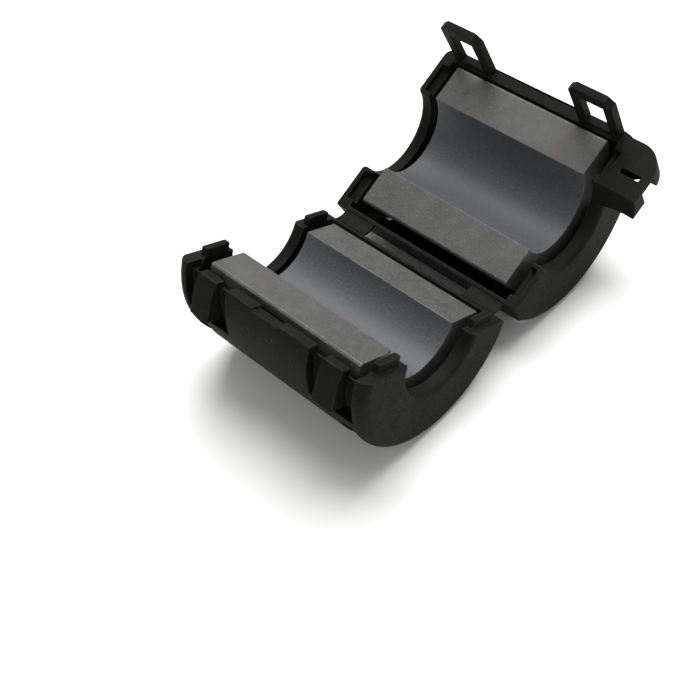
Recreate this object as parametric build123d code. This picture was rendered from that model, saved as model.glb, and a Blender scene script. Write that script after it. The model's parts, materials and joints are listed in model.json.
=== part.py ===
from build123d import *
import math
import os

# Clip-on ferrite bead, millimetres. It lies opened on its two round backs.
#
# Each half is modelled in the closed clip's frame: X runs along the cable bore, the halves meet
# at Z = 0, the living hinge is on the +Y side and the snap latch on the -Y side. The catch half
# lies below the split plane and the latch half above it. Both are then turned to the open pose.
# The row's origin is the centre of the catch half's bore.

# Ferrite half cores
bore_d = 13.4
core_d = 26.0
core_length = 28.0
core_face_gap = 0.05
core_edge_chamfer = 0.3
latch_core_shift = 0.7

# Moulded case, round the cores and the cable
core_clearance = 1.1
core_end_gap = 1.4
port_clearance = 0.6
case_wall = 1.9
end_wall = 2.2
rim_setback = 0.25
end_rim_radius = 1.6
port_edge_radius = 0.8

# Living hinge
hinge_flat_depth = 1.2
strap_thickness = 0.5
strap_width = 5.7
strap_inset = 5.1
opening_angle = 130.0

# Snap latches: a catch on one half, a loop on the other, at each end
latch_inset = 3.7
catch_width = 3.5
catch_top = 0.5
catch_height = 6.4
catch_ramp = 1.7
catch_proud = 0.15
catch_lead_in = 0.5
loop_width = 7.4
loop_thickness = 1.25
loop_bar = 2.35
loop_setback = 0.1
loop_corner = 1.1
loop_root = 0.65
latch_clearance = 0.25
groove_skin = 0.4
groove_run_out = 1.4
groove_notch = 1.6

# Core windows through the case wall, beside each end wall
window_length = 2.6
window_arc = 21.0
window_angle = 48.5

# Back pad with a spring tongue at each end, which presses on the core
pad_end_inset = 0.9
pad_width = 6.6
pad_recess = 0.3
pad_thickness = 1.2
tongue_length = 5.0
tongue_slot = 0.65
tongue_end_slot = 1.2
tongue_gap = 0.3

# Locating lugs on the catch half's end walls, and their rebates in the latch half
lug_thickness = 1.1
lug_height = 1.2
lug_port_margin = 1.0
lug_wall_margin = 1.4
lug_clearance = 0.25

# Cable-tie anchor on the latch half's +X end
anchor_reach = 5.2
anchor_height = 4.0
anchor_setback = 0.25
anchor_floor = 1.0
anchor_wall = 0.95
anchor_bar = 0.6
anchor_back = 0.5
anchor_round = 4.0
anchor_inner_round = 1.45
anchor_pocket = 2.9
anchor_slot_width = 0.8
anchor_slot_length = 3.2
anchor_slot_start = 0.6
anchor_slot_inset = 5.35

# Derived sizes
core_r = core_d / 2
bore_r = bore_d / 2
port_r = bore_r + port_clearance
cavity_r = core_r + core_clearance
case_r = cavity_r + case_wall
cavity_end = core_length / 2 + core_end_gap
half_length = cavity_end + end_wall
hinge_offset = case_r
hinge_flat = case_r - hinge_flat_depth
strap_centre = half_length - strap_inset
latch_centre = cavity_end - latch_inset
catch_foot = catch_top + catch_height
loop_reach = catch_foot + latch_clearance + loop_bar
groove_foot = catch_foot + groove_run_out
groove_depth = case_wall - groove_skin
pad_length = core_length - 2 * pad_end_inset
tilt = (180 - opening_angle) / 2

# Cutters reach well past the shape, or just past a face; a match is this near
beyond = 2 * (case_r + half_length)
past = 1.0
into_cavity = 0.6
match = 0.1


def block(x0, x1, y0, y1, z0, z1):
    """A box between two opposite corners."""
    size = Box(x1 - x0, y1 - y0, z1 - z0)
    return Pos((x0 + x1) / 2, (y0 + y1) / 2, (z0 + z1) / 2) * size


def round_bar(radius, length):
    """A cylinder along the bore, centred on the origin."""
    return Rot(Y=90) * Cylinder(radius, length)


def below_split(shape, setback):
    """What of a shape lies under the split plane by at least the setback."""
    return shape & block(-beyond, beyond, -beyond, beyond, -beyond, -setback)


def section(points, x0, x1):
    """A prism along X from a closed outline of (y, z) points."""
    face = make_face(Plane.YZ * Polyline(*points, close=True))
    return Pos(x0, 0, 0) * extrude(face, amount=x1 - x0, dir=(1, 0, 0))


def both_ends(shape):
    """A shape and its mirror image at the other end of the case."""
    return shape + mirror(shape, about=Plane.YZ)


def in_open_pose(shape):
    """Turn a catch-half shape to where it lies."""
    return Rot(X=-tilt) * shape


def opened(shape):
    """Swing a latch-half shape about the hinge, then lay it with the catch half."""
    swing = Pos(0, hinge_offset, 0) * Rot(X=-opening_angle) * Pos(0, -hinge_offset, 0)
    return in_open_pose(swing * shape)


def half_core():
    """One ferrite half ring, under the split plane."""
    ring = round_bar(core_r, core_length) - round_bar(bore_r, core_length + past)
    half = below_split(ring, core_face_gap)
    outer = [e for e in half.edges().filter_by(Axis.X) if abs(e.center().Y) > core_r - match]
    return chamfer(outer, core_edge_chamfer)


def case_tube():
    """The full round case with its cavity, end walls and cable ports, as a turned profile."""
    outline = Polyline(
        (-half_length, port_r), (-half_length, case_r), (half_length, case_r), (half_length, port_r),
        (cavity_end, port_r), (cavity_end, cavity_r), (-cavity_end, cavity_r), (-cavity_end, port_r),
        close=True)
    profile = make_face(outline)
    rim = [v for v in profile.vertices() if v.Y > case_r - match]
    profile = fillet(rim, end_rim_radius)
    mouths = [v for v in profile.vertices() if v.Y < port_r + match and abs(v.X) > half_length - match]
    profile = fillet(mouths, port_edge_radius)
    return revolve(profile, Axis.X, 360)


def core_windows():
    """Cutters for the four windows of one half, beside its end walls."""
    arc_length = case_r * math.radians(window_arc)
    cutter = block(cavity_end - window_length, cavity_end, cavity_r - into_cavity, case_r + past,
                   -arc_length / 2, arc_length / 2)
    latch_side = Rot(X=180 + window_angle) * cutter
    hinge_side = Rot(X=-window_angle) * cutter
    return both_ends(latch_side + hinge_side)


def back_pad():
    """The recessed pad on a half's back; its two ends are tongues bent in towards the core."""
    face_z = -(case_r - pad_recess)
    root = pad_length / 2 - tongue_end_slot - tongue_length
    tip = pad_length / 2 - tongue_end_slot
    tip_z = -(core_r + tongue_gap + pad_thickness)
    side = Polyline(
        (-tip, tip_z), (-root, face_z), (root, face_z), (tip, tip_z),
        (tip, tip_z + pad_thickness), (root, face_z + pad_thickness),
        (-root, face_z + pad_thickness), (-tip, tip_z + pad_thickness),
        close=True)
    tongue_width = pad_width - 2 * tongue_slot
    strip = extrude(make_face(Plane.XZ * side), amount=tongue_width / 2, both=True)
    middle = block(-root, root, -pad_width / 2 - match, pad_width / 2 + match, face_z, face_z + pad_thickness)
    return strip + middle


def half_case():
    """The moulding that both halves share, under the split plane."""
    shell = below_split(case_tube(), rim_setback)
    shell -= block(-beyond, beyond, hinge_flat, beyond, -beyond, beyond)
    shell -= core_windows()
    shell -= block(-pad_length / 2, pad_length / 2, -pad_width / 2, pad_width / 2,
                   -case_r - past, -cavity_r + into_cavity)
    return shell + back_pad()


def loop_groove(x0, x1):
    """Cutter for the groove that takes a loop, with its through notches at the rim beside the catch."""
    ring = round_bar(case_r + past, beyond) - round_bar(case_r - groove_depth, beyond + past)
    groove = ring & block(x0, x1, -beyond, 0, -groove_foot, 0)
    notch = block(x0, x1, -case_r - past, -cavity_r + past, -groove_notch, past)
    leg = catch_width / 2
    notch -= block(latch_centre - leg, latch_centre + leg, -beyond, 0, -beyond, -catch_top)
    return groove + notch


def catch():
    """The wedge that a loop snaps over, with its lead-in ramp and its locking ledge below."""
    face = -(case_r + catch_proud)
    outline = [
        (0, -catch_top), (face + catch_lead_in, -catch_top), (face, -catch_top - catch_ramp),
        (face, -catch_foot), (0, -catch_foot)]
    wedge = section(outline, latch_centre - catch_width / 2, latch_centre + catch_width / 2)
    return wedge - round_bar(case_r - groove_depth - groove_skin / 2, beyond)


def end_lugs(extra, height):
    """The locating lugs of both end walls, or with extra their rebates."""
    near = port_r + lug_port_margin - extra
    far = cavity_r - lug_wall_margin + extra
    x0 = cavity_end - extra
    x1 = cavity_end + lug_thickness + extra
    latch_side = block(x0, x1, -far, -near, -rim_setback - past, height)
    hinge_side = block(x0, x1, near, far, -rim_setback - past, height)
    return both_ends(latch_side + hinge_side)


def catch_case():
    """The half with the catches, under the split plane."""
    shell = half_case()
    slot = loop_width / 2 + latch_clearance
    shell -= both_ends(loop_groove(latch_centre - slot, latch_centre + slot))
    shell += both_ends(catch())
    return shell + end_lugs(0, lug_height)


def latch_loop():
    """One latch loop: a plate with a window, hanging past the split plane."""
    outside = -(case_r - loop_setback)
    inside = outside + loop_thickness
    x0 = latch_centre - loop_width / 2
    x1 = latch_centre + loop_width / 2
    plate = block(x0, x1, outside, inside, -loop_reach, loop_root)
    corners = [e for e in plate.edges().filter_by(Axis.Y) if e.center().Z < 0]
    plate = chamfer(corners, loop_corner)
    opening = catch_width / 2 + latch_clearance
    top = -(catch_top - latch_clearance)
    foot = -(catch_foot + latch_clearance)
    return plate - block(latch_centre - opening, latch_centre + opening, outside - past, inside + past, foot, top)


def tie_anchor():
    """The pocketed block for a cable tie on the +X end, above the split plane."""
    x0 = half_length - end_rim_radius
    x1 = half_length + anchor_reach
    far_y = -(case_r - anchor_setback)
    body = block(x0, x1, far_y, -port_r / 2, rim_setback, anchor_height)
    outer_corner = body.edges().filter_by(Axis.Z).group_by(Axis.X)[-1].sort_by(Axis.Y)[0]
    body = fillet(outer_corner, anchor_round)
    body -= round_bar(port_r, beyond)
    slot_y = -(case_r - anchor_slot_inset)
    bore_side = slot_y + anchor_pocket / 2
    far_side = slot_y - anchor_pocket / 2
    deep = rim_setback + anchor_floor
    top = anchor_height + past
    pocket_start = half_length + anchor_back
    pocket_end = x1 - anchor_wall
    body -= block(pocket_start, x1 + past, far_side, bore_side, deep, top)
    bore_pocket = block(pocket_start, pocket_end, bore_side + anchor_bar, 0, deep, top)
    body -= bore_pocket - round_bar(port_r + anchor_wall, beyond)
    far_pocket = block(pocket_start, pocket_end, far_y + anchor_wall, far_side - anchor_bar, deep, top)
    inner_corner = far_pocket.edges().filter_by(Axis.Z).group_by(Axis.X)[-1].sort_by(Axis.Y)[0]
    body -= fillet(inner_corner, anchor_inner_round)
    slot_x = half_length + anchor_slot_start
    body -= block(slot_x, slot_x + anchor_slot_length, slot_y - anchor_slot_width / 2,
                  slot_y + anchor_slot_width / 2, 0, deep + match)
    return body


def latch_case():
    """The half with the loops, above the split plane."""
    shell = mirror(half_case(), about=Plane.XY)
    shell += both_ends(latch_loop())
    shell += tie_anchor()
    return shell - end_lugs(lug_clearance, lug_height + lug_clearance)


def hinge_strap(side):
    """One living-hinge strap, bent to an arc between the two rims as they lie open."""
    centre_x = side * strap_centre
    top = -rim_setback
    end_face = block(centre_x - strap_width / 2, centre_x + strap_width / 2, 0, past, top - strap_thickness, top)
    end_face = end_face.faces().sort_by(Axis.Y)[0].moved(Location((0, hinge_flat, 0)))
    arm = hinge_offset - hinge_flat
    bend_axis = Axis((0, hinge_flat, arm / math.tan(math.radians(tilt))), (1, 0, 0))
    return revolve(end_face, bend_axis, 2 * tilt)


nodes = {
    "case_half_catch": in_open_pose(catch_case()),
    "ferrite_core_catch": in_open_pose(half_core()),
    "case_half_latch": opened(latch_case()),
    "ferrite_core_latch": opened(Pos(0, -latch_core_shift, 0) * mirror(half_core(), about=Plane.XY)),
    "hinge_strap_far": in_open_pose(hinge_strap(-1)),
    "hinge_strap_near": in_open_pose(hinge_strap(1)),
}

os.makedirs("parts", exist_ok=True)
for name, shape in nodes.items():
    export_step(shape, f"parts/{name}.step")
    print(f"{name}: {len(shape.solids())} solid, {shape.volume:.0f} mm3")
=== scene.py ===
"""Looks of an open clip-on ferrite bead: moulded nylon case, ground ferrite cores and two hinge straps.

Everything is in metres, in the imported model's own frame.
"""

import json
import logging
import math
import random
from dataclasses import dataclass, field
from enum import Enum

import bmesh
import bpy
from mathutils import Matrix, Vector

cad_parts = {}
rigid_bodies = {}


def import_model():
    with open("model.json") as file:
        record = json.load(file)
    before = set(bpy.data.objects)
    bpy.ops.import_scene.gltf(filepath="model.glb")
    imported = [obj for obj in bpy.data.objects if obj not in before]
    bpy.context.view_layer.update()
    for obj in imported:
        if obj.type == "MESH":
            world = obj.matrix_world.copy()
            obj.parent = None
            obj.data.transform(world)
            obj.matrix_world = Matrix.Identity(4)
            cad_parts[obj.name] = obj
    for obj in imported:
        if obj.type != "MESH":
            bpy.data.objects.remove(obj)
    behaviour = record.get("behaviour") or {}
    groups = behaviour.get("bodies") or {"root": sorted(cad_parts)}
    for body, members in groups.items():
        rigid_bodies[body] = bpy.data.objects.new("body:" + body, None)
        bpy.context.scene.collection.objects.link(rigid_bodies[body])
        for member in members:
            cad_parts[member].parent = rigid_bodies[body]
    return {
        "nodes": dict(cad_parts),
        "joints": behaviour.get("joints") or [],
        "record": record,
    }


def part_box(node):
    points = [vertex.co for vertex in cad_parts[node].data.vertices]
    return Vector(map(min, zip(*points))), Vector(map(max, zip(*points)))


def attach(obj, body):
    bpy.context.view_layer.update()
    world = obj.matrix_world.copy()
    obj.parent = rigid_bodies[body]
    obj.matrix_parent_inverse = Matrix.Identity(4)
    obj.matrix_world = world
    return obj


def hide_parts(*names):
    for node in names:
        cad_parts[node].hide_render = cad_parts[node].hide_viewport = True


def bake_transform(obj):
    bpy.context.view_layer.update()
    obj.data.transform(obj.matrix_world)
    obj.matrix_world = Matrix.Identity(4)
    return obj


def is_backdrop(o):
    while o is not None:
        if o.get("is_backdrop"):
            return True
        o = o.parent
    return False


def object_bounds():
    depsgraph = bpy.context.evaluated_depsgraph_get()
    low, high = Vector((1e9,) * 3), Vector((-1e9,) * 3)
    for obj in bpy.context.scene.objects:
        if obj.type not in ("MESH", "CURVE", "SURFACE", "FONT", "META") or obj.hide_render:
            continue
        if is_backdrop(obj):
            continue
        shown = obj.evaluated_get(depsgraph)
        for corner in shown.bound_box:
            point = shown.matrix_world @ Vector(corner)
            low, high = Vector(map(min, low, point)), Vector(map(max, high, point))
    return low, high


MM = 0.001
ARRIS = "arris"
LOG = logging.getLogger("ferrite_clip")

Colour = tuple[float, float, float, float]


class Effect(Enum):
    """The shared shader groups."""

    GRAIN = "surface_grain"
    SPECKS = "settled_specks"
    EDGES = "worn_edges"
    BLOTCHES = "slow_blotches"


@dataclass
class NodeSheet:
    """A node tree being laid out, with short calls to add nodes and join sockets."""

    tree: bpy.types.NodeTree

    def add(self, kind: str, **settings: object) -> bpy.types.Node:
        """Add a node.

        Args:
            kind: The node's type name without its ShaderNode prefix, or a full type name.
            settings: Properties set on the node.

        Returns:
            The new node.
        """
        full = kind if kind.startswith("Node") else "ShaderNode" + kind
        node = self.tree.nodes.new(full)
        for name, value in settings.items():
            setattr(node, name, value)
        return node

    def join(self, source: bpy.types.NodeSocket, target: bpy.types.NodeSocket) -> None:
        """Link one socket to another."""
        self.tree.links.new(source, target)

    def span(self, value: bpy.types.NodeSocket, low: float, high: float, to: tuple[float, float] = (0, 1)) -> bpy.types.NodeSocket:
        """Map a value from one range to another, clamped.

        Args:
            value: The socket to map.
            low: The value that maps to the first end.
            high: The value that maps to the second end.
            to: The two ends of the result.

        Returns:
            The mapped value's socket.
        """
        node = self.add("MapRange", interpolation_type="SMOOTHSTEP")
        self.join(value, node.inputs["Value"])
        node.inputs["From Min"].default_value = low
        node.inputs["From Max"].default_value = high
        node.inputs["To Min"].default_value = to[0]
        node.inputs["To Max"].default_value = to[1]
        return node.outputs["Result"]

    def sum_of(self, kind: str, first: bpy.types.NodeSocket, second: bpy.types.NodeSocket | float) -> bpy.types.NodeSocket:
        """Add a math node of two values.

        Args:
            kind: The operation, such as MULTIPLY.
            first: The first socket.
            second: The second socket, or a number.

        Returns:
            The result's socket.
        """
        node = self.add("Math", operation=kind)
        self.join(first, node.inputs[0])
        if isinstance(second, (int, float)):
            node.inputs[1].default_value = second
        else:
            self.join(second, node.inputs[1])
        return node.outputs[0]

    def tint(self, base: bpy.types.NodeSocket | Colour, over: Colour, mask: bpy.types.NodeSocket) -> bpy.types.NodeSocket:
        """Mix a colour over another by a mask.

        Args:
            base: The colour underneath, as a socket or a constant.
            over: The colour on top.
            mask: How much of the top colour shows.

        Returns:
            The mixed colour's socket.
        """
        node = self.add("Mix", data_type="RGBA")
        self.join(mask, node.inputs["Factor"])
        if isinstance(base, tuple):
            node.inputs[6].default_value = base
        else:
            self.join(base, node.inputs[6])
        node.inputs[7].default_value = over
        return node.outputs[2]


@dataclass
class EffectShop:
    """Builds each shared shader group once and places it in materials."""

    made: dict[Effect, bpy.types.NodeTree] = field(default_factory=dict)

    def group(self, effect: Effect) -> bpy.types.NodeTree:
        """Return the group of an effect, made on its first use."""
        if effect not in self.made:
            maker = {
                Effect.GRAIN: self._grain,
                Effect.SPECKS: self._specks,
                Effect.EDGES: self._edges,
                Effect.BLOTCHES: self._blotches,
            }[effect]
            self.made[effect] = maker(effect.value)
        return self.made[effect]

    def place(self, sheet: NodeSheet, effect: Effect, where: bpy.types.NodeSocket, **values: float) -> bpy.types.Node:
        """Place an effect in a material.

        Args:
            sheet: The material's node sheet.
            effect: Which effect.
            where: The coordinate socket.
            values: The group's inputs, with underscores for spaces.

        Returns:
            The group's node.
        """
        node = sheet.add("Group", node_tree=self.group(effect))
        sheet.join(where, node.inputs["Where"])
        for name, value in values.items():
            node.inputs[name.replace("_", " ")].default_value = value
        return node

    def _blank(self, name: str, numbers: dict[str, float], results: list[str]) -> tuple[NodeSheet, bpy.types.Node, bpy.types.Node]:
        """Start a group with a coordinate input, number inputs and value outputs."""
        tree = bpy.data.node_groups.new(name, "ShaderNodeTree")
        tree.interface.new_socket("Where", in_out="INPUT", socket_type="NodeSocketVector")
        for label, start in numbers.items():
            socket = tree.interface.new_socket(label, in_out="INPUT", socket_type="NodeSocketFloat")
            socket.default_value = start
        for label in results:
            tree.interface.new_socket(label, in_out="OUTPUT", socket_type="NodeSocketFloat")
        sheet = NodeSheet(tree)
        return sheet, sheet.add("NodeGroupInput"), sheet.add("NodeGroupOutput")

    def _grain(self, name: str) -> bpy.types.NodeTree:
        """Fine even grain over a slower swell, as a height and as a roughness change."""
        sheet, given, result = self._blank(name, {"Grains per m": 6000, "Swells per m": 500, "Swell": 0.3}, ["Height", "Fine"])
        fine = sheet.add("TexNoise")
        fine.inputs["Detail"].default_value = 3
        fine.inputs["Roughness"].default_value = 0.6
        sheet.join(given.outputs["Where"], fine.inputs["Vector"])
        sheet.join(given.outputs["Grains per m"], fine.inputs["Scale"])
        slow = sheet.add("TexNoise")
        slow.inputs["Detail"].default_value = 2
        sheet.join(given.outputs["Where"], slow.inputs["Vector"])
        sheet.join(given.outputs["Swells per m"], slow.inputs["Scale"])
        swell = sheet.sum_of("MULTIPLY", slow.outputs[0], given.outputs["Swell"])
        sheet.join(sheet.sum_of("ADD", fine.outputs[0], swell), result.inputs["Height"])
        sheet.join(fine.outputs[0], result.inputs["Fine"])
        return sheet.tree

    def _specks(self, name: str) -> bpy.types.NodeTree:
        """Small scattered round specks of uneven size, thinned in patches."""
        sheet, given, result = self._blank(name, {"Specks per m": 900, "Radius": 0.12, "Share": 0.5}, ["Mask"])
        cells = sheet.add("TexVoronoi")
        sheet.join(given.outputs["Where"], cells.inputs["Vector"])
        sheet.join(given.outputs["Specks per m"], cells.inputs["Scale"])
        split = sheet.add("SeparateColor")
        sheet.join(cells.outputs["Color"], split.inputs[0])
        own_size = sheet.sum_of("MULTIPLY", split.outputs[0], given.outputs["Radius"])
        inside = sheet.sum_of("LESS_THAN", cells.outputs["Distance"], own_size)
        kept = sheet.sum_of("LESS_THAN", split.outputs[1], given.outputs["Share"])
        sheet.join(sheet.sum_of("MULTIPLY", inside, kept), result.inputs["Mask"])
        return sheet.tree

    def _edges(self, name: str) -> bpy.types.NodeTree:
        """Rounded edges, from the arris attribute, broken up by noise."""
        sheet, given, result = self._blank(name, {"Breaks per m": 900, "Amount": 1.0}, ["Mask"])
        arris = sheet.add("Attribute", attribute_name=ARRIS)
        breaks = sheet.add("TexNoise")
        breaks.inputs["Detail"].default_value = 4
        sheet.join(given.outputs["Where"], breaks.inputs["Vector"])
        sheet.join(given.outputs["Breaks per m"], breaks.inputs["Scale"])
        ragged = sheet.span(breaks.outputs[0], 0.36, 0.62)
        strength = sheet.sum_of("MULTIPLY", ragged, given.outputs["Amount"])
        sheet.join(sheet.sum_of("MULTIPLY", arris.outputs["Fac"], strength), result.inputs["Mask"])
        return sheet.tree

    def _blotches(self, name: str) -> bpy.types.NodeTree:
        """Slow uneven patches with soft borders."""
        sheet, given, result = self._blank(name, {"Patches per m": 150, "From": 0.5, "To": 0.7}, ["Mask"])
        patches = sheet.add("TexNoise")
        patches.inputs["Detail"].default_value = 5
        patches.inputs["Roughness"].default_value = 0.62
        sheet.join(given.outputs["Where"], patches.inputs["Vector"])
        sheet.join(given.outputs["Patches per m"], patches.inputs["Scale"])
        ramp = sheet.add("MapRange", interpolation_type="SMOOTHSTEP")
        sheet.join(patches.outputs[0], ramp.inputs["Value"])
        sheet.join(given.outputs["From"], ramp.inputs["From Min"])
        sheet.join(given.outputs["To"], ramp.inputs["From Max"])
        sheet.join(ramp.outputs["Result"], result.inputs["Mask"])
        return sheet.tree


def blank_material(name: str) -> tuple[bpy.types.Material, NodeSheet, bpy.types.Node, bpy.types.NodeSocket]:
    """Start a material.

    Args:
        name: The material's name.

    Returns:
        The material, its node sheet, its Principled node and the Object coordinate socket.
    """
    material = bpy.data.materials.new(name)
    material.use_nodes = True
    sheet = NodeSheet(material.node_tree)
    shader = next(node for node in material.node_tree.nodes if node.type == "BSDF_PRINCIPLED")
    where = sheet.add("TexCoord").outputs["Object"]
    return material, sheet, shader, where


def bumped(sheet: NodeSheet, shader: bpy.types.Node, height: bpy.types.NodeSocket, strength: float, depth: float) -> None:
    """Feed a height into a material's normal.

    Args:
        sheet: The material's node sheet.
        shader: Its Principled node.
        height: The height's socket, about 0 to 1.
        strength: The bump's strength.
        depth: The depth in metres that a height of 1 stands for.
    """
    bump = sheet.add("Bump")
    bump.inputs["Strength"].default_value = strength
    bump.inputs["Distance"].default_value = depth
    sheet.join(height, bump.inputs["Height"])
    sheet.join(bump.outputs["Normal"], shader.inputs["Normal"])


@dataclass(frozen=True)
class MouldedNylon:
    """Near-black nylon with a fine spark-eroded grain, painted sheen in soft paler patches, paler rubbed edges and a
    little settled dust.
    """

    name: str = "case_nylon"
    body: Colour = (0.0048, 0.0049, 0.0040, 1)
    # Painted sheen: a slightly paler colour laid in soft patches, standing in for the nylon's sheen.
    painted_sheen: Colour = (0.0072, 0.0073, 0.0060, 1)
    rubbed: Colour = (0.0220, 0.0218, 0.0190, 1)
    dust: Colour = (0.1300, 0.1250, 0.1120, 1)
    roughness: tuple[float, float] = (0.58, 0.82)
    grain_depth: float = 0.030 * MM

    def material(self, effects: EffectShop) -> bpy.types.Material:
        """Build the finish.

        Args:
            effects: The shared shader groups.

        Returns:
            The material.
        """
        material, sheet, shader, where = blank_material(self.name)
        grain = effects.place(sheet, Effect.GRAIN, where, Grains_per_m=5200, Swells_per_m=420, Swell=0.45)
        # Painted sheen: the soft patches where the paler sheen colour is mixed into the body colour.
        painted_sheen = effects.place(sheet, Effect.BLOTCHES, where, Patches_per_m=210, From=0.42, To=0.68)
        specks = effects.place(sheet, Effect.SPECKS, where, Specks_per_m=760, Radius=0.085, Share=0.16)
        edges = effects.place(sheet, Effect.EDGES, where, Breaks_per_m=700, Amount=0.55)
        colour = sheet.tint(self.body, self.painted_sheen, painted_sheen.outputs["Mask"])
        colour = sheet.tint(colour, self.rubbed, edges.outputs["Mask"])
        colour = sheet.tint(colour, self.dust, sheet.sum_of("MULTIPLY", specks.outputs["Mask"], 0.7))
        sheet.join(colour, shader.inputs["Base Color"])
        sheet.join(sheet.span(grain.outputs["Fine"], 0.3, 0.7, self.roughness), shader.inputs["Roughness"])
        shader.inputs["Specular IOR Level"].default_value = 0.10
        height = sheet.sum_of("ADD", grain.outputs["Height"], sheet.sum_of("MULTIPLY", specks.outputs["Mask"], 0.8))
        bumped(sheet, shader, height, 0.55, self.grain_depth)
        return material


@dataclass(frozen=True)
class GroundFerrite:
    """Dark sintered ferrite with paler ground faces, small pits, chipped arrises and brown rub marks."""

    name: str = "ferrite"
    ground: Colour = (0.046, 0.046, 0.044, 1)
    ground_light: Colour = (0.062, 0.062, 0.059, 1)
    # Bore colour: partly the unground surface's own tone, and partly a painted bluish highlight that makes it paler
    # and bluer than the ground faces.
    bore: Colour = (0.058, 0.062, 0.068, 1)
    pit: Colour = (0.016, 0.015, 0.014, 1)
    stain: Colour = (0.085, 0.048, 0.031, 1)
    bright: Colour = (0.150, 0.152, 0.158, 1)
    roughness: tuple[float, float] = (0.42, 0.64)
    grain_depth: float = 0.022 * MM

    def material(self, effects: EffectShop) -> bpy.types.Material:
        """Build the finish.

        Args:
            effects: The shared shader groups.

        Returns:
            The material.
        """
        material, sheet, shader, where = blank_material(self.name)
        grain = effects.place(sheet, Effect.GRAIN, where, Grains_per_m=3600, Swells_per_m=650, Swell=0.3)
        clouds = effects.place(sheet, Effect.BLOTCHES, where, Patches_per_m=330, From=0.35, To=0.70)
        stains = effects.place(sheet, Effect.BLOTCHES, where, Patches_per_m=190, From=0.575, To=0.70)
        pits = effects.place(sheet, Effect.SPECKS, where, Specks_per_m=1500, Radius=0.20, Share=0.20)
        edges = effects.place(sheet, Effect.EDGES, where, Breaks_per_m=1100, Amount=0.35)
        flat = sheet.add("Attribute", attribute_name="ground_face").outputs["Fac"]
        colour = sheet.tint(self.ground, self.ground_light, clouds.outputs["Mask"])
        unground = sheet.span(flat, 0.0, 1.0, (1, 0))
        # The bore colour, with its painted bluish highlight, laid over the unground faces.
        colour = sheet.tint(colour, self.bore, sheet.sum_of("MULTIPLY", unground, 0.9))
        speckle = sheet.span(grain.outputs["Fine"], 0.50, 0.72, (0, 0.40))
        colour = sheet.tint(colour, self.bright, speckle)
        colour = sheet.tint(colour, self.pit, sheet.sum_of("MULTIPLY", pits.outputs["Mask"], 0.75))
        stained = sheet.sum_of("MULTIPLY", sheet.sum_of("MULTIPLY", stains.outputs["Mask"], flat), 0.6)
        colour = sheet.tint(colour, self.stain, stained)
        colour = sheet.tint(colour, self.bright, edges.outputs["Mask"])
        sheet.join(colour, shader.inputs["Base Color"])
        sheet.join(sheet.span(grain.outputs["Fine"], 0.3, 0.7, self.roughness), shader.inputs["Roughness"])
        shader.inputs["Specular IOR Level"].default_value = 0.35
        pitted = sheet.sum_of("SUBTRACT", grain.outputs["Height"], sheet.sum_of("MULTIPLY", pits.outputs["Mask"], 0.9))
        bumped(sheet, shader, pitted, 0.6, self.grain_depth)
        return material


@dataclass(frozen=True)
class PaleTop:
    """The plain pale surface that the clip lies on."""

    name: str = "pale_top"
    low: Colour = (0.80, 0.80, 0.79, 1)
    high: Colour = (0.84, 0.84, 0.83, 1)

    def material(self, effects: EffectShop) -> bpy.types.Material:
        """Build the finish.

        Args:
            effects: The shared shader groups.

        Returns:
            The material.
        """
        material, sheet, shader, where = blank_material(self.name)
        patches = effects.place(sheet, Effect.BLOTCHES, where, Patches_per_m=9, From=0.3, To=0.7)
        sheet.join(sheet.tint(self.low, self.high, patches.outputs["Mask"]), shader.inputs["Base Color"])
        shader.inputs["Roughness"].default_value = 0.85
        return material


@dataclass(frozen=True)
class HalfFrame:
    """Turns a place in the closed clip's frame, bore on X and split at Z = 0, to where a half lies open."""

    hinge_y: float
    hinge_z: float
    swing: float

    def matrix(self, half: str) -> Matrix:
        """Return the turn for a half.

        Args:
            half: Either catch or latch.

        Returns:
            The matrix from the closed frame to the row frame.
        """
        laid = Matrix.Rotation(math.atan2(self.hinge_z, self.hinge_y), 4, "X")
        if half == "catch":
            return laid
        arm = Vector((0, math.hypot(self.hinge_y, self.hinge_z), 0))
        return laid @ Matrix.Translation(arm) @ Matrix.Rotation(self.swing, 4, "X") @ Matrix.Translation(-arm)


@dataclass(frozen=True)
class RimCut:
    """A shallow box cut in a half's rim, in millimetres in the closed clip's frame."""

    low: tuple[float, float, float]
    high: tuple[float, float, float]

    def cutter(self, place: Matrix) -> bpy.types.Object:
        """Build the cutter.

        Args:
            place: The turn from the closed frame to the row frame.

        Returns:
            A helper object, removed after the cut.
        """
        low, high = Vector(self.low) * MM, Vector(self.high) * MM
        shape = bmesh.new()
        bmesh.ops.create_cube(shape, size=1.0)
        bmesh.ops.scale(shape, verts=shape.verts, vec=high - low)
        bmesh.ops.translate(shape, verts=shape.verts, vec=(low + high) / 2)
        bmesh.ops.transform(shape, verts=shape.verts, matrix=place)
        mesh = bpy.data.meshes.new("rim_cutter")
        shape.to_mesh(mesh)
        shape.free()
        cutter = bpy.data.objects.new("rim_cutter", mesh)
        bpy.context.scene.collection.objects.link(cutter)
        return cutter


def cut_mesh(mesh: bpy.types.Mesh, cuts: tuple[RimCut, ...], place: Matrix) -> bpy.types.Mesh:
    """Cut shallow boxes out of a closed mesh.

    Args:
        mesh: The closed mesh.
        cuts: The boxes.
        place: The turn from the closed frame to the row frame.

    Returns:
        The cut mesh.
    """
    blank = bpy.data.objects.new("blank", mesh)
    bpy.context.scene.collection.objects.link(blank)
    cutters = [cut.cutter(place) for cut in cuts]
    for cutter in cutters:
        step = blank.modifiers.new("cut", "BOOLEAN")
        step.operation = "DIFFERENCE"
        step.solver = "EXACT"
        step.object = cutter
    bpy.context.view_layer.update()
    view = bpy.context.evaluated_depsgraph_get()
    result = bpy.data.meshes.new_from_object(blank.evaluated_get(view))
    for helper in [blank, *cutters]:
        bpy.data.objects.remove(helper, do_unlink=True)
    return result


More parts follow.
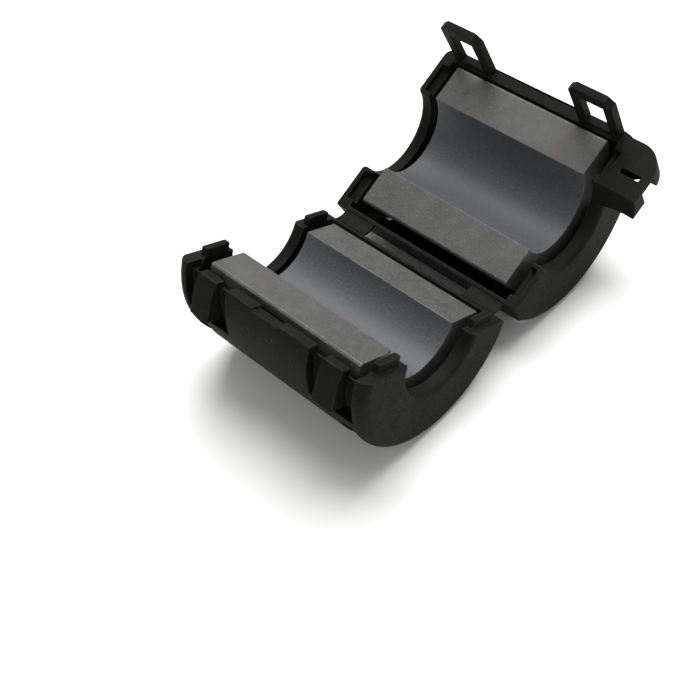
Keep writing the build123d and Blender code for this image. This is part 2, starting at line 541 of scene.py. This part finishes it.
@dataclass
class RoundedPart:
    """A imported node's shape with its sharp edges softened, which stands for that node."""

    node: str
    body: str
    slot: str
    edge_radius: float
    sharp_from: float = math.radians(35)
    segments: int = 2
    cuts: tuple[RimCut, ...] = ()
    place: Matrix = field(default_factory=Matrix)

    def build(self, source: bpy.types.Object, name: str) -> bpy.types.Object:
        """Copy the node's mesh, merge it and round its edges.

        Args:
            source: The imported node's object.
            name: The new piece's name.

        Returns:
            The finished piece, riding on its body.
        """
        shape = bmesh.new()
        shape.from_mesh(source.data)
        bmesh.ops.remove_doubles(shape, verts=shape.verts, dist=0.0005 * MM)
        if self.cuts:
            whole = bpy.data.meshes.new("whole")
            shape.to_mesh(whole)
            shape.clear()
            shape.from_mesh(cut_mesh(whole, self.cuts, self.place))
        bmesh.ops.dissolve_limit(
            shape, angle_limit=math.radians(0.4), use_dissolve_boundaries=False, verts=shape.verts, edges=shape.edges, delimit={"NORMAL"}
        )
        arris = shape.faces.layers.float.new(ARRIS)
        sharp = [e for e in shape.edges if len(e.link_faces) == 2 and e.calc_face_angle(0.0) > self.sharp_from]
        rounded = bmesh.ops.bevel(
            shape, geom=sharp, offset=self.edge_radius, offset_type="OFFSET", segments=self.segments, profile=0.5,
            affect="EDGES", clamp_overlap=False, material=-1, loop_slide=True,
        )
        for face in rounded["faces"]:
            face[arris] = 1.0
        low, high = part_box(self.node)
        for vert in shape.verts:
            vert.co = Vector(min(max(c, a), b) for c, a, b in zip(vert.co, low, high))
        self.mark(shape)
        mesh = bpy.data.meshes.new(name)
        shape.to_mesh(mesh)
        shape.free()
        mesh.shade_smooth()
        mesh.set_sharp_from_angle(angle=math.radians(38))
        piece = bpy.data.objects.new(name, mesh)
        bpy.context.scene.collection.objects.link(piece)
        even = piece.modifiers.new("even_shading", "WEIGHTED_NORMAL")
        even.keep_sharp = True
        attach(piece, self.body)
        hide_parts(self.node)
        return piece

    def mark(self, shape: bmesh.types.BMesh) -> None:
        """Set extra face attributes; a plain part has none."""


@dataclass
class FerriteCore(RoundedPart):
    """A ground half ring, whose flat faces are marked as ground."""

    slot: str = "ferrite"
    edge_radius: float = 0.12 * MM
    bore_centre: tuple[float, float] = (0.0, 0.0)
    bore_radius: float = 6.7 * MM

    def mark(self, shape: bmesh.types.BMesh) -> None:
        """Mark each face but the bore's as ground."""
        layer = shape.faces.layers.float.new("ground_face")
        for face in shape.faces:
            middle = face.calc_center_median()
            reach = math.hypot(middle.y - self.bore_centre[0], middle.z - self.bore_centre[1])
            face[layer] = 0.0 if reach < self.bore_radius * 1.01 and abs(face.normal.x) < 0.5 else 1.0


@dataclass
class HingeStrap:
    """A thin nylon strap between the two halves, with extra edge loops across its length."""

    node: str
    slot: str = "case_nylon"
    cuts: int = 5

    def build(self, source: bpy.types.Object, name: str) -> bpy.types.Object:
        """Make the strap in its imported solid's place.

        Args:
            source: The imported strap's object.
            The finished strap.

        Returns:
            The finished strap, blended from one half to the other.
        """
        low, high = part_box(self.node)
        shape = bmesh.new()
        shape.from_mesh(source.data)
        bmesh.ops.remove_doubles(shape, verts=shape.verts, dist=0.0005 * MM)
        bmesh.ops.dissolve_limit(shape, angle_limit=math.radians(0.4), use_dissolve_boundaries=False, verts=shape.verts, edges=shape.edges)
        for share in range(1, 2 * self.cuts):
            at = low.x + (high.x - low.x) * share / (2 * self.cuts)
            every = list(shape.verts) + list(shape.edges) + list(shape.faces)
            bmesh.ops.bisect_plane(shape, geom=every, plane_co=(at, 0, 0), plane_no=(1, 0, 0))
        mesh = bpy.data.meshes.new(name)
        shape.to_mesh(mesh)
        shape.free()
        mesh.shade_smooth()
        mesh.set_sharp_from_angle(angle=math.radians(38))
        strap = bpy.data.objects.new(name, mesh)
        bpy.context.scene.collection.objects.link(strap)
        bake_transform(strap)
        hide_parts(self.node)
        return strap


@dataclass
class MouldingFlash:
    """The torn lumps of nylon left on the far lugs of the catch half, from its sprue."""

    lug_x: tuple[float, float] = (-16.1, -15.8)
    lug_y: tuple[float, float] = (8.7, 12.3)
    top: float = 1.02
    lumps: int = 7
    size: float = 0.36
    seed: int = 11

    def build(self, place: Matrix, name: str) -> bpy.types.Object:
        """Build the lumps of both lugs as one piece.

        Args:
            place: The turn from the closed frame to the row frame.
            name: The piece's name.

        Returns:
            The finished piece, riding on the catch half.
        """
        chance = random.Random(self.seed)
        shape = bmesh.new()
        for side in (-1, 1):
            for index in range(self.lumps):
                lump = bmesh.ops.create_icosphere(shape, subdivisions=2, radius=self.size)["verts"]
                for vert in lump:
                    vert.co *= chance.uniform(0.72, 1.08)
                along = self.lug_y[0] + (self.lug_y[1] - self.lug_y[0]) * (index + chance.uniform(0.1, 0.9)) / self.lumps
                flat = Vector((chance.uniform(0.9, 1.5), chance.uniform(0.8, 1.3), chance.uniform(0.7, 0.95)))
                bmesh.ops.scale(shape, verts=lump, vec=flat)
                bmesh.ops.translate(shape, verts=lump, vec=(chance.uniform(*self.lug_x), side * along, self.top))
        bmesh.ops.scale(shape, verts=shape.verts, vec=(MM, MM, MM))
        bmesh.ops.transform(shape, verts=shape.verts, matrix=place)
        mesh = bpy.data.meshes.new(name)
        shape.to_mesh(mesh)
        shape.free()
        mesh.shade_smooth()
        mesh.set_sharp_from_angle(angle=math.radians(38))
        flash = bpy.data.objects.new(name, mesh)
        bpy.context.scene.collection.objects.link(flash)
        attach(flash, "catch_half")
        return flash


@dataclass
class ClipOnBead:
    """The whole open clip: two case halves, two half cores and two straps."""

    nodes: dict[str, bpy.types.Object]
    record: dict
    joint: dict
    case_edge: float = 0.16 * MM
    rim_cuts: dict[str, tuple[RimCut, ...]] = field(default_factory=lambda: {
        "catch": (RimCut((-2.8, -17.0, -0.70), (1.95, -13.6, 1.0)),),
        "latch": (),
    })

    def mount_centre(self, name: str) -> tuple[float, float]:
        """Return a mount's y and z in metres."""
        place = next(m["pos_m"] for m in self.record["mounts"] if m["name"] == name)
        return place[1], place[2]

    def build(self, nylon: bpy.types.Material, ferrite: bpy.types.Material) -> list[bpy.types.Object]:
        """Build and dress every piece.

        Args:
            nylon: The case's finish.
            ferrite: The cores' finish.

        Returns:
            The pieces.
        """
        pieces = []
        pivot = self.joint["pos_m"]
        lying = HalfFrame(pivot[1], pivot[2], math.radians(self.joint["range_deg"][0]))
        for half in ("catch", "latch"):
            shell = RoundedPart(f"case_half_{half}", f"{half}_half", "case_nylon", self.case_edge,
                                cuts=self.rim_cuts[half], place=lying.matrix(half))
            pieces.append((shell.build(self.nodes[shell.node], f"moulded_{half}_half"), nylon))
            core = FerriteCore(f"ferrite_core_{half}", f"{half}_half", bore_centre=self.mount_centre(f"cable_bore_{half}"))
            pieces.append((core.build(self.nodes[core.node], f"ground_core_{half}"), ferrite))
        pieces.append((MouldingFlash().build(lying.matrix("catch"), "moulding_flash"), nylon))
        for side in ("far", "near"):
            strap = HingeStrap(f"hinge_strap_{side}")
            pieces.append((strap.build(self.nodes[strap.node], f"bending_strap_{side}"), nylon))
        for piece, finish in pieces:
            piece.data.materials.clear()
            piece.data.materials.append(finish)
            LOG.info("piece %s: %d faces, finish %s", piece.name, len(piece.data.polygons), finish.name)
        for node in self.nodes.values():
            finish = ferrite if "ferrite" in node.name else nylon
            for place in node.material_slots:
                place.material = finish
        return [piece for piece, _ in pieces]


@dataclass
class Studio:
    """Floor, soft lights, world and camera."""

    floor_z: float
    eye: Vector = field(default_factory=lambda: Vector((78.8, -71.4, 118.5)) * MM)
    right: Vector = field(default_factory=lambda: Vector((0.731, 0.678, -0.074)))
    up: Vector = field(default_factory=lambda: Vector((-0.498, 0.605, 0.621)))
    lens: float = 58.5
    floor_size: float = 12.0

    def floor(self, finish: bpy.types.Material) -> bpy.types.Object:
        """Make the floor under the clip."""
        shape = bmesh.new()
        bmesh.ops.create_grid(shape, x_segments=2, y_segments=2, size=self.floor_size / 2)
        bmesh.ops.translate(shape, verts=shape.verts, vec=(0, 0, self.floor_z))
        mesh = bpy.data.meshes.new("pale_floor")
        shape.to_mesh(mesh)
        shape.free()
        floor = bpy.data.objects.new("pale_floor", mesh)
        bpy.context.scene.collection.objects.link(floor)
        mesh.materials.append(finish)
        floor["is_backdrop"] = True
        return floor

    def panel(self, name: str, place: tuple[float, float, float], size: float, watts: float) -> bpy.types.Object:
        """Hang a square soft light that faces the clip.

        Args:
            name: The light's name.
            place: Its place in metres.
            size: Its side in metres.
            watts: Its power.

        Returns:
            The light's object.
        """
        lamp = bpy.data.lights.new(name, "AREA")
        lamp.energy = watts
        lamp.size = size
        light = bpy.data.objects.new(name, lamp)
        bpy.context.scene.collection.objects.link(light)
        aim = Vector((0.0, 0.014, -0.006)) - Vector(place)
        light.matrix_world = Matrix.Translation(place) @ aim.to_track_quat("-Z", "Y").to_matrix().to_4x4()
        return light

    def sky(self, strength: float) -> None:
        """Set an even pale surround."""
        world = bpy.data.worlds.new("pale_surround")
        world.use_nodes = True
        ground = world.node_tree.nodes["Background"]
        ground.inputs["Color"].default_value = (1.0, 1.0, 1.0, 1)
        ground.inputs["Strength"].default_value = strength
        bpy.context.scene.world = world

    def camera(self) -> bpy.types.Object:
        """Set the camera at the chosen view."""
        lens = bpy.data.cameras.new("studio_camera")
        lens.lens = self.lens
        lens.sensor_width = 36
        lens.clip_start = 0.005
        lens.clip_end = 10
        camera = bpy.data.objects.new("studio_camera", lens)
        bpy.context.scene.collection.objects.link(camera)
        right = self.right.normalized()
        up = (self.up - right * self.up.dot(right)).normalized()
        back = right.cross(up)
        turn = Matrix((right, up, back)).transposed().to_4x4()
        camera.matrix_world = Matrix.Translation(self.eye) @ turn
        bpy.context.scene.camera = camera
        return camera


def clear_scene() -> None:
    """Remove everything that a new Blender file starts with."""
    for thing in list(bpy.data.objects):
        bpy.data.objects.remove(thing, do_unlink=True)


def plain(box: tuple) -> list[list[float]]:
    """Return a box's corners as plain lists."""
    return [[float(c) for c in corner] for corner in box]


def main() -> None:
    """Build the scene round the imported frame."""
    logging.basicConfig(level=logging.INFO, format="%(name)s %(message)s")
    clear_scene()
    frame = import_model()
    cad_box = plain(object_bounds())
    effects = EffectShop()
    nylon = MouldedNylon().material(effects)
    ferrite = GroundFerrite().material(effects)
    ClipOnBead(frame["nodes"], frame["record"], frame["joints"][0]).build(nylon, ferrite)
    studio = Studio(floor_z=cad_box[0][2])
    studio.floor(PaleTop().material(effects))
    studio.panel("overhead_softbox", (-0.10, 0.24, 0.52), 0.55, 6.6)
    studio.panel("front_fill", (0.30, -0.45, 0.40), 0.4, 0.5)
    studio.sky(0.42)
    studio.camera()
    view = bpy.context.scene.view_settings
    view.view_transform = "Standard"


if __name__ == "__main__":
    main()
